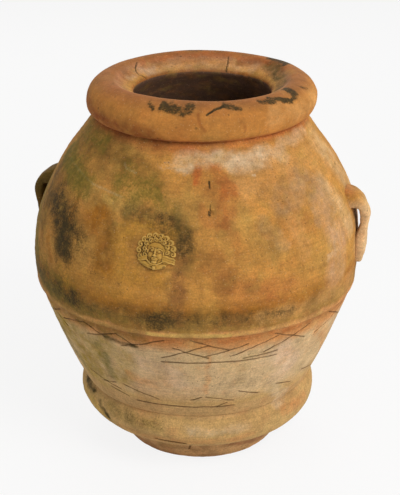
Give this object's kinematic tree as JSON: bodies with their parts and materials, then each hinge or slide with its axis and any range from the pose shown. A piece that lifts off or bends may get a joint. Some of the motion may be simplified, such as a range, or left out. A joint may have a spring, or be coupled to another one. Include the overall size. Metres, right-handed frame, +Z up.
{
  "type": "terracotta jar",
  "caption": "Large round-bellied terracotta storage jar with a thick rolled rim, open mouth, strap handles, flared foot and a small relief head on the front.",
  "frame": {"origin": "middle of the foot's underside, on the floor", "axes": "+Z up the jar's axis, +X through the right handle, the relief head faces -Y"},
  "size_m": [0.7524, 0.714, 0.8336],
  "materials": {
    "clay_body": "fired terracotta, weathered, with dark algae and pale lime bloom",
    "clay_buff": "pale buff terracotta, pitted, with incised lines",
    "clay_rim": "smoothed ochre terracotta with dark crusts",
    "clay_foot": "reddish brown terracotta, chipped",
    "clay_mossy": "terracotta darkened by algae",
    "clay_relief": "press-moulded terracotta, tan"
  },
  "bodies": {
    "root": {"base_disc": "clay_foot", "foot_ring": "clay_foot", "skirt_course": "clay_buff", "lower_band_course": "clay_buff", "upper_band_course": "clay_buff", "belly_course": "clay_body", "upper_belly_course": "clay_body", "shoulder_course": "clay_body", "neck_course": "clay_body", "rim_roll": "clay_rim", "handle_right": "clay_body", "handle_left": "clay_mossy", "mask_relief": "clay_relief"}
  },
  "joints": []
}
